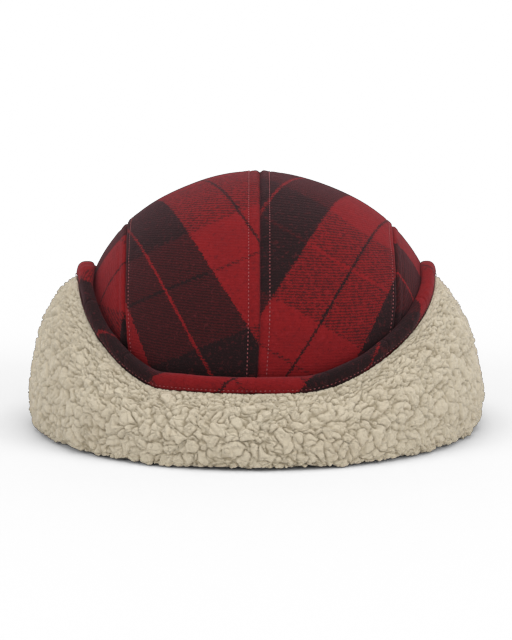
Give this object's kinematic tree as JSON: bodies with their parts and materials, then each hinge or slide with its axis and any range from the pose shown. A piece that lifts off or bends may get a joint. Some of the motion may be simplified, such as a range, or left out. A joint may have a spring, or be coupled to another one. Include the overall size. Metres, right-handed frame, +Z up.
{
  "type": "trapper hat",
  "caption": "Plaid wool trapper hat, panelled oval crown, deep pile cuff turned up round the back and ears that folds down over them, stitched-up front flap.",
  "frame": {"origin": "centre of the bounding box, at the surface the hat stands on", "axes": "+Z up, +Y towards the wearer's face, +X to the right seen from behind"},
  "size_m": [0.2416, 0.26, 0.133],
  "materials": {
    "plaid_wool": "brushed twill",
    "pile": "curly pile",
    "lining": "satin quilted",
    "sweatband": "matt"
  },
  "bodies": {
    "crown": {"left_side_panel": "plaid_wool", "left_top_panel": "plaid_wool", "right_top_panel": "plaid_wool", "right_side_panel": "plaid_wool", "left_side_lining": "lining", "left_top_lining": "lining", "right_top_lining": "lining", "right_side_lining": "lining", "sweatband": "sweatband", "pile_band": "pile", "front_flap_wool": "plaid_wool", "front_flap_pile": "pile", "front_flap_hem": "plaid_wool"},
    "left_ear_1": {"left_ear_wool_1": "plaid_wool", "left_ear_pile_1": "pile", "left_ear_hem_1": "plaid_wool"},
    "left_ear_2": {"left_ear_wool_2": "plaid_wool", "left_ear_pile_2": "pile", "left_ear_hem_2": "plaid_wool"},
    "left_ear_3": {"left_ear_wool_3": "plaid_wool", "left_ear_pile_3": "pile", "left_ear_hem_3": "plaid_wool"},
    "left_ear_4": {"left_ear_wool_4": "plaid_wool", "left_ear_pile_4": "pile", "left_ear_hem_4": "plaid_wool"},
    "neck_1": {"neck_wool_1": "plaid_wool", "neck_pile_1": "pile", "neck_hem_1": "plaid_wool"},
    "neck_2": {"neck_wool_2": "plaid_wool", "neck_pile_2": "pile", "neck_hem_2": "plaid_wool"},
    "neck_3": {"neck_wool_3": "plaid_wool", "neck_pile_3": "pile", "neck_hem_3": "plaid_wool"},
    "neck_4": {"neck_wool_4": "plaid_wool", "neck_pile_4": "pile", "neck_hem_4": "plaid_wool"},
    "right_ear_1": {"right_ear_wool_1": "plaid_wool", "right_ear_pile_1": "pile", "right_ear_hem_1": "plaid_wool"},
    "right_ear_2": {"right_ear_wool_2": "plaid_wool", "right_ear_pile_2": "pile", "right_ear_hem_2": "plaid_wool"},
    "right_ear_3": {"right_ear_wool_3": "plaid_wool", "right_ear_pile_3": "pile", "right_ear_hem_3": "plaid_wool"},
    "right_ear_4": {"right_ear_wool_4": "plaid_wool", "right_ear_pile_4": "pile", "right_ear_hem_4": "plaid_wool"}
  },
  "joints": [
    {"name": "left_ear_fold_1", "type": "hinge", "parent": "crown", "child": "left_ear_1", "pos_m": [-0.08807, 0.05098, 0], "axis": [-0.419, -0.908, 0], "range_deg": [0, 175], "deforming": ["left_ear_pile_1"]},
    {"name": "left_ear_fold_2", "type": "hinge", "parent": "crown", "child": "left_ear_2", "pos_m": [-0.09859, 0.01161, 0], "axis": [-0.0934, -0.9956, 0], "range_deg": [0, 175], "deforming": ["left_ear_pile_2"]},
    {"name": "left_ear_fold_3", "type": "hinge", "parent": "crown", "child": "left_ear_3", "pos_m": [-0.09561, -0.02936, 0], "axis": [0.2378, -0.9713, 0], "range_deg": [0, 175], "deforming": ["left_ear_pile_3"]},
    {"name": "left_ear_fold_4", "type": "hinge", "parent": "crown", "child": "left_ear_4", "pos_m": [-0.07952, -0.0663, 0], "axis": [0.5536, -0.8328, 0], "range_deg": [0, 175], "deforming": ["left_ear_pile_4"]},
    {"name": "neck_fold_1", "type": "hinge", "parent": "crown", "child": "neck_1", "pos_m": [-0.05253, -0.09416, 0], "axis": [0.8193, -0.5734, 0], "range_deg": [0, 175], "deforming": ["neck_pile_1"]},
    {"name": "neck_fold_2", "type": "hinge", "parent": "crown", "child": "neck_2", "pos_m": [-0.01835, -0.10911, 0], "axis": [0.9785, -0.2064, 0], "range_deg": [0, 175], "deforming": ["neck_pile_2"]},
    {"name": "neck_fold_3", "type": "hinge", "parent": "crown", "child": "neck_3", "pos_m": [0.01835, -0.10911, 0], "axis": [0.9785, 0.2064, 0], "range_deg": [0, 175], "deforming": ["neck_pile_3"]},
    {"name": "neck_fold_4", "type": "hinge", "parent": "crown", "child": "neck_4", "pos_m": [0.05253, -0.09416, 0], "axis": [0.8193, 0.5734, 0], "range_deg": [0, 175], "deforming": ["neck_pile_4"]},
    {"name": "right_ear_fold_1", "type": "hinge", "parent": "crown", "child": "right_ear_1", "pos_m": [0.07952, -0.0663, 0], "axis": [0.5536, 0.8328, 0], "range_deg": [0, 175], "deforming": ["right_ear_pile_1"]},
    {"name": "right_ear_fold_2", "type": "hinge", "parent": "crown", "child": "right_ear_2", "pos_m": [0.09561, -0.02936, 0], "axis": [0.2378, 0.9713, 0], "range_deg": [0, 175], "deforming": ["right_ear_pile_2"]},
    {"name": "right_ear_fold_3", "type": "hinge", "parent": "crown", "child": "right_ear_3", "pos_m": [0.09859, 0.01161, 0], "axis": [-0.0934, 0.9956, 0], "range_deg": [0, 175], "deforming": ["right_ear_pile_3"]},
    {"name": "right_ear_fold_4", "type": "hinge", "parent": "crown", "child": "right_ear_4", "pos_m": [0.08807, 0.05098, 0], "axis": [-0.419, 0.908, 0], "range_deg": [0, 175], "deforming": ["right_ear_pile_4"]}
  ],
  "couplings": [
    {"joint": "left_ear_fold_1", "follows": "neck_fold_2", "ratio": 1},
    {"joint": "left_ear_fold_2", "follows": "neck_fold_2", "ratio": 1},
    {"joint": "left_ear_fold_3", "follows": "neck_fold_2", "ratio": 1},
    {"joint": "left_ear_fold_4", "follows": "neck_fold_2", "ratio": 1},
    {"joint": "neck_fold_1", "follows": "neck_fold_2", "ratio": 1},
    {"joint": "neck_fold_3", "follows": "neck_fold_2", "ratio": 1},
    {"joint": "neck_fold_4", "follows": "neck_fold_2", "ratio": 1},
    {"joint": "right_ear_fold_1", "follows": "neck_fold_2", "ratio": 1},
    {"joint": "right_ear_fold_2", "follows": "neck_fold_2", "ratio": 1},
    {"joint": "right_ear_fold_3", "follows": "neck_fold_2", "ratio": 1},
    {"joint": "right_ear_fold_4", "follows": "neck_fold_2", "ratio": 1}
  ]
}
